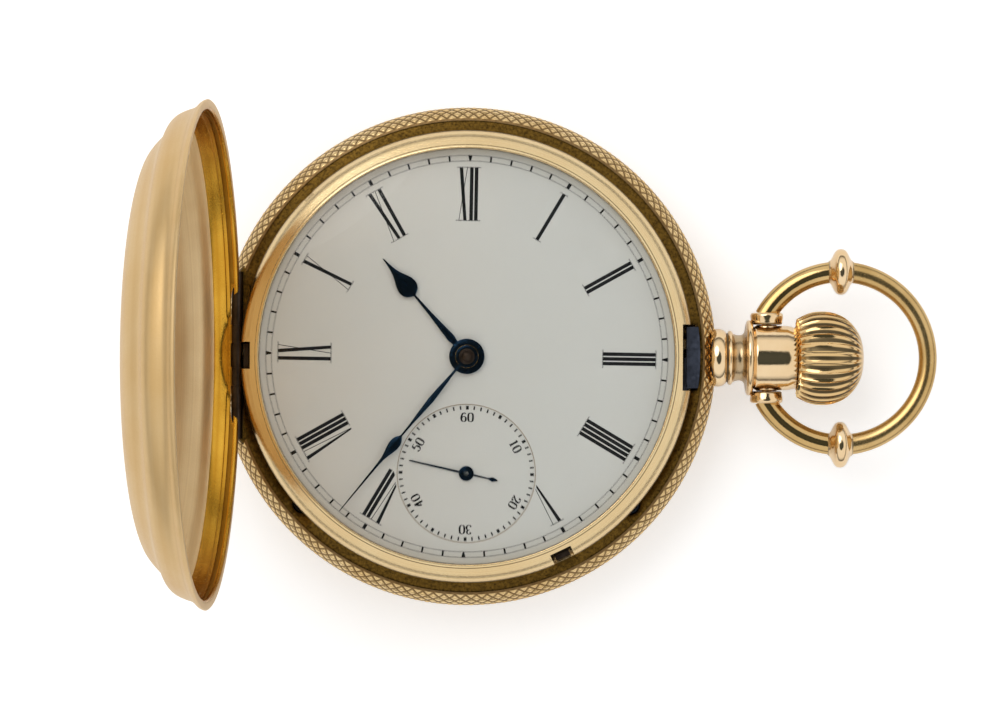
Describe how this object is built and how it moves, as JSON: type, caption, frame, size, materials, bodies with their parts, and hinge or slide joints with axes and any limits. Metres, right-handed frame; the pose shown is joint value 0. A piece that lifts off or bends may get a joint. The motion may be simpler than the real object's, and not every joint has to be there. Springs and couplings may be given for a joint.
{
  "type": "full hunter pocket watch",
  "caption": "Full hunter pocket watch lying open on its back: sprung front cover, enamel dial with sunk seconds, fluted crown, hinged bow, and a complete keyless movement inside.",
  "frame": {"origin": "on the case axis, at the flat of the back cover that the watch lies on", "axes": "+X towards the pendant and crown (3 o'clock), +Y towards 12 o'clock, +Z out of the dial towards the viewer"},
  "size_m": [0.0845, 0.054, 0.0614],
  "materials": {
    "gold": "polished gold",
    "crystal": "clear watch glass",
    "enamel": "fired white enamel",
    "nickel": "frosted nickel plate",
    "brass": "gilt brass",
    "steel": "polished steel",
    "blued_steel": "heat-blued steel",
    "ruby": "polished ruby"
  },
  "bodies": {
    "watch": {"case_center": "gold", "pendant": "gold", "bezel": "gold", "crystal": "crystal", "dial": "enamel", "seconds_dial": "enamel", "pillar_plate": "nickel", "top_plate": "nickel", "pillars": "nickel", "plate_screws": "blued_steel", "jewels": "ruby", "balance_cock": "nickel", "cock_screw": "blued_steel", "hairspring": "blued_steel", "front_hinge_pin": "steel", "back_hinge_pin": "steel", "cuvette_hinge_pin": "steel", "case_screws": "blued_steel", "spring_screws": "blued_steel", "bow_studs": "blued_steel", "click_spring": "steel"},
    "front_cover": {"front_cover": "gold"},
    "back_cover": {"back_cover": "gold"},
    "cuvette": {"cuvette": "gold"},
    "bow": {"bow": "gold"},
    "winding_pinion": {"winding_pinion": "steel"},
    "crown": {"crown": "gold", "winding_stem": "steel"},
    "crown_wheel": {"crown_wheel": "steel"},
    "transfer_wheel": {"transfer_wheel": "steel"},
    "ratchet": {"ratchet_wheel": "steel", "barrel_arbor": "steel"},
    "barrel": {"mainspring_barrel": "brass", "barrel_cover": "brass", "mainspring": "steel"},
    "centre": {"centre_wheel": "brass", "centre_pinion": "steel", "cannon_pinion": "steel", "minute_hand": "blued_steel"},
    "third": {"third_wheel": "brass", "third_pinion": "steel"},
    "fourth": {"fourth_wheel": "brass", "fourth_pinion": "steel", "seconds_hand": "blued_steel"},
    "escape": {"escape_wheel": "brass", "escape_pinion": "steel"},
    "minute_wheel": {"minute_wheel": "brass"},
    "hour": {"hour_wheel": "brass", "hour_hand": "blued_steel"},
    "pallet_lever": {"pallet_lever": "steel"},
    "balance": {"balance_wheel": "brass", "balance_staff": "steel", "balance_screws": "brass"},
    "regulator": {"regulator": "steel"},
    "setting_lever": {"setting_lever": "steel"},
    "lock_spring": {"lock_spring": "blued_steel"},
    "lift_spring": {"lift_spring": "steel"},
    "click": {"click": "steel"}
  },
  "joints": [
    {"name": "front_cover_hinge", "type": "hinge", "parent": "watch", "child": "front_cover", "pos_m": [-0.02475, 0, 0.0107], "axis": [0, -1, 0], "range_deg": [-93.5, 0], "stiffness_Nm_per_rad": 0.006},
    {"name": "back_cover_hinge", "type": "hinge", "parent": "watch", "child": "back_cover", "pos_m": [-0.02475, 0, 0.0065], "axis": [0, 1, 0], "range_deg": [0, 93.5]},
    {"name": "cuvette_hinge", "type": "hinge", "parent": "watch", "child": "cuvette", "pos_m": [-0.0235, 0, 0.0066], "axis": [0, 1, 0], "range_deg": [0, 75]},
    {"name": "bow_swing", "type": "hinge", "parent": "watch", "child": "bow", "pos_m": [0.0324, 0, 0.0086], "axis": [0, 1, 0], "range_deg": [-90, 90]},
    {"name": "winding_turn", "type": "hinge", "parent": "watch", "child": "winding_pinion", "pos_m": [0.018, 0, 0.0086], "axis": [1, 0, 0], "continuous": true},
    {"name": "crown_press", "type": "slide", "parent": "winding_pinion", "child": "crown", "axis": [-1, 0, 0], "range_m": [0, 0.0006], "stiffness_N_per_m": 3000},
    {"name": "crown_wheel_turn", "type": "hinge", "parent": "watch", "child": "crown_wheel", "pos_m": [0.01445, 0, 0.0105], "axis": [0, 0, 1], "continuous": true},
    {"name": "transfer_wheel_turn", "type": "hinge", "parent": "watch", "child": "transfer_wheel", "pos_m": [0.00677, 0.00601, 0.0105], "axis": [0, 0, 1], "continuous": true},
    {"name": "ratchet_turn", "type": "hinge", "parent": "watch", "child": "ratchet", "pos_m": [-0.00495, 0.00857, 0.008], "axis": [0, 0, 1], "continuous": true},
    {"name": "fourth_turn", "type": "hinge", "parent": "watch", "child": "fourth", "pos_m": [0, -0.01258, 0.007], "axis": [0, 0, -1], "continuous": true},
    {"name": "third_turn", "type": "hinge", "parent": "watch", "child": "third", "pos_m": [0.00542, -0.00718, 0.007], "axis": [0, 0, -1], "continuous": true},
    {"name": "centre_turn", "type": "hinge", "parent": "watch", "child": "centre", "pos_m": [0, 0, 0.007], "axis": [0, 0, -1], "continuous": true},
    {"name": "barrel_turn", "type": "hinge", "parent": "watch", "child": "barrel", "pos_m": [-0.00495, 0.00857, 0.007], "axis": [0, 0, -1], "continuous": true},
    {"name": "escape_turn", "type": "hinge", "parent": "watch", "child": "escape", "pos_m": [-0.00579, -0.01047, 0.007], "axis": [0, 0, -1], "continuous": true},
    {"name": "minute_wheel_turn", "type": "hinge", "parent": "watch", "child": "minute_wheel", "pos_m": [-0.00164, -0.00451, 0.0105], "axis": [0, 0, -1], "continuous": true},
    {"name": "hour_turn", "type": "hinge", "parent": "watch", "child": "hour", "pos_m": [0, 0, 0.011], "axis": [0, 0, -1], "continuous": true},
    {"name": "lever_rock", "type": "hinge", "parent": "watch", "child": "pallet_lever", "pos_m": [-0.00829, -0.00715, 0.0066], "axis": [0, 0, 1], "range_deg": [-5, 5]},
    {"name": "balance_swing", "type": "hinge", "parent": "watch", "child": "balance", "pos_m": [-0.01052, -0.0042, 0.0033], "axis": [0, 0, 1], "range_deg": [-270, 270], "stiffness_Nm_per_rad": 0.00001},
    {"name": "regulator_turn", "type": "hinge", "parent": "watch", "child": "regulator", "pos_m": [-0.01052, -0.0042, 0.0017], "axis": [0, 0, 1], "range_deg": [-12, 12]},
    {"name": "setting_pull", "type": "slide", "parent": "watch", "child": "setting_lever", "axis": [0.4384, -0.8988, 0], "range_m": [0, 0.0025]},
    {"name": "lock_spring_flex", "type": "hinge", "parent": "watch", "child": "lock_spring", "pos_m": [0.01769, -0.01593, 0.0095], "axis": [0, 0, 1], "range_deg": [0, 1.4]},
    {"name": "lift_spring_flex", "type": "hinge", "parent": "watch", "child": "lift_spring", "pos_m": [-0.01769, -0.01593, 0.0095], "axis": [0, 0, 1], "range_deg": [-1, 0]},
    {"name": "click_rock", "type": "hinge", "parent": "watch", "child": "click", "pos_m": [-0.01179, 0.01252, 0.0105], "axis": [0, 0, 1], "range_deg": [0, 8], "stiffness_Nm_per_rad": 0.0002}
  ],
  "couplings": [
    {"joint": "cuvette_hinge", "follows": "back_cover_hinge", "ratio": 0.8},
    {"joint": "crown_wheel_turn", "follows": "winding_turn", "ratio": -0.4},
    {"joint": "transfer_wheel_turn", "follows": "winding_turn", "ratio": 0.25},
    {"joint": "ratchet_turn", "follows": "winding_turn", "ratio": -0.25},
    {"joint": "third_turn", "follows": "fourth_turn", "ratio": -0.13333},
    {"joint": "centre_turn", "follows": "fourth_turn", "ratio": 0.016667},
    {"joint": "barrel_turn", "follows": "fourth_turn", "ratio": -0.0025641},
    {"joint": "escape_turn", "follows": "fourth_turn", "ratio": -10},
    {"joint": "minute_wheel_turn", "follows": "fourth_turn", "ratio": -0.0055556},
    {"joint": "hour_turn", "follows": "fourth_turn", "ratio": 0.0013889},
    {"joint": "lock_spring_flex", "follows": "crown_press", "rad_per_m": 36.7},
    {"joint": "lift_spring_flex", "follows": "front_cover_hinge", "ratio": 0.0075}
  ]
}
